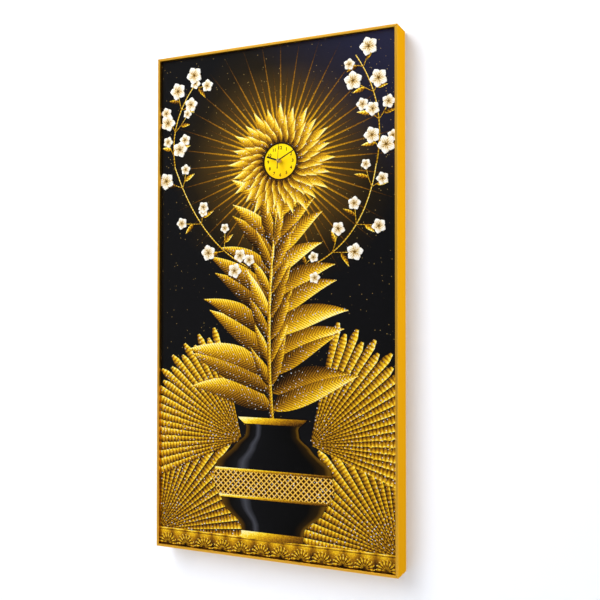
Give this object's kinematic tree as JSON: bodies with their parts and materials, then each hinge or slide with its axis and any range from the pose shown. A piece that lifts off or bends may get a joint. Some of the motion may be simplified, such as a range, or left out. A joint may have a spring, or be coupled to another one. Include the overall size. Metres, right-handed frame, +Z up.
{
  "type": "framed wall clock",
  "caption": "Tall slim metal picture frame around a printed panel with a small quartz clock dial, hung from keyhole brackets.",
  "frame": {"origin": "on the wall plane, midway between the entry holes of the keyhole hangers", "axes": "+Z up, +X to the right seen from the front, +Y back into the wall; the dial faces -Y"},
  "size_m": [0.412, 0.0464, 0.8],
  "materials": {
    "gold_aluminium": "satin gold anodised",
    "zinc_steel": "zinc plated",
    "dark_steel": "black oxide",
    "spring_steel": "bright spring temper",
    "print_film": "clear hard gloss over print",
    "fibreboard": "raw brown fibreboard",
    "pad_rubber": "matt",
    "bezel_black": "satin black",
    "dial_yellow": "smooth",
    "brass": "polished",
    "hand_black": "black lacquer",
    "hand_olive": "olive gold lacquer",
    "case_black": "fine moulded grain",
    "wheel_white": "moulded",
    "wheel_amber": "moulded",
    "knob_grey": "moulded",
    "polished_steel": "ground",
    "gold_foil": "bright foil on the print",
    "ivory_foil": "pearl foil on the print",
    "cut_glass": "faceted, foil backed",
    "dial_ink": "screen printed",
    "magnet_dark": "plain",
    "copper_wire": "enamelled wire",
    "board_green": "solder resist",
    "chip_black": "epoxy",
    "can_metal": "drawn",
    "cell_sleeve": "printed sleeve"
  },
  "bodies": {
    "frame": {"frame_rail_top": "gold_aluminium", "frame_rail_bottom": "gold_aluminium", "frame_rail_left": "gold_aluminium", "frame_rail_right": "gold_aluminium", "corner_keys": "zinc_steel", "corner_backing_plates": "zinc_steel", "corner_screws": "dark_steel", "print_sheet": "print_film", "picture_board": "fibreboard", "spring_clips": "spring_steel", "hanger_bracket_left": "zinc_steel", "hanger_bracket_right": "zinc_steel", "hanger_nuts": "zinc_steel", "hanger_screws": "dark_steel", "wall_bumpers": "pad_rubber", "dial_bezel": "bezel_black", "dial_disc": "dial_yellow", "bushing_nut": "brass", "rubber_washer": "pad_rubber", "threaded_bushing": "brass", "movement_case": "case_black", "movement_cover": "case_black", "gear_bridge": "wheel_white", "bridge_screws": "zinc_steel", "stator_core": "spring_steel", "coil_winding": "copper_wire", "circuit_board": "board_green", "quartz_can": "can_metal", "control_chip": "chip_black", "battery_contact_positive": "spring_steel", "battery_contact_negative": "spring_steel"},
    "battery_body": {"battery": "cell_sleeve"},
    "second_body": {"second_wheel": "wheel_white", "second_arbor": "polished_steel", "second_hand": "hand_olive", "second_hand_cap": "brass"},
    "minute_body": {"centre_wheel": "wheel_white", "minute_hand": "hand_black", "minute_hand_collet": "brass"},
    "hour_body": {"hour_wheel": "wheel_white", "hour_hand": "hand_black", "hour_hand_collet": "brass"},
    "third_body": {"third_wheel": "wheel_white"},
    "motion_body": {"motion_wheel": "wheel_white"},
    "intermediate_body": {"intermediate_wheel": "wheel_amber"},
    "rotor_body": {"rotor_pinion": "wheel_amber", "rotor_magnet": "magnet_dark"},
    "knob_body": {"setting_stem": "wheel_white", "setting_knob": "knob_grey"}
  },
  "joints": [
    {"name": "second_hand_turn", "type": "hinge", "parent": "frame", "child": "second_body", "pos_m": [0.016, -0.025, -0.155], "axis": [0, 1, 0], "continuous": true},
    {"name": "minute_hand_turn", "type": "hinge", "parent": "frame", "child": "minute_body", "pos_m": [0.016, -0.025, -0.155], "axis": [0, 1, 0], "continuous": true},
    {"name": "hour_hand_turn", "type": "hinge", "parent": "frame", "child": "hour_body", "pos_m": [0.016, -0.025, -0.155], "axis": [0, 1, 0], "continuous": true},
    {"name": "third_wheel_turn", "type": "hinge", "parent": "frame", "child": "third_body", "pos_m": [0.0214, -0.025, -0.14565], "axis": [0, 1, 0], "continuous": true},
    {"name": "motion_wheel_turn", "type": "hinge", "parent": "frame", "child": "motion_body", "pos_m": [0.00769, -0.025, -0.1502], "axis": [0, 1, 0], "continuous": true},
    {"name": "intermediate_wheel_turn", "type": "hinge", "parent": "frame", "child": "intermediate_body", "pos_m": [0.02618, -0.025, -0.15773], "axis": [0, 1, 0], "continuous": true},
    {"name": "rotor_turn", "type": "hinge", "parent": "frame", "child": "rotor_body", "pos_m": [0.03182, -0.025, -0.15568], "axis": [0, 1, 0], "continuous": true},
    {"name": "setting_knob_turn", "type": "hinge", "parent": "frame", "child": "knob_body", "pos_m": [0.00152, -0.025, -0.14285], "axis": [0, 1, 0], "continuous": true},
    {"name": "battery_slide", "type": "slide", "parent": "frame", "child": "battery_body", "axis": [0, 1, 0], "range_m": [0, 0.02]}
  ],
  "couplings": [
    {"joint": "intermediate_wheel_turn", "follows": "second_hand_turn", "ratio": -7.5},
    {"joint": "rotor_turn", "follows": "second_hand_turn", "ratio": 30},
    {"joint": "third_wheel_turn", "follows": "second_hand_turn", "ratio": -0.125},
    {"joint": "minute_hand_turn", "follows": "second_hand_turn", "ratio": 0.016667},
    {"joint": "motion_wheel_turn", "follows": "second_hand_turn", "ratio": -0.0055556},
    {"joint": "hour_hand_turn", "follows": "second_hand_turn", "ratio": 0.0013889},
    {"joint": "setting_knob_turn", "follows": "second_hand_turn", "ratio": 0.016667}
  ]
}
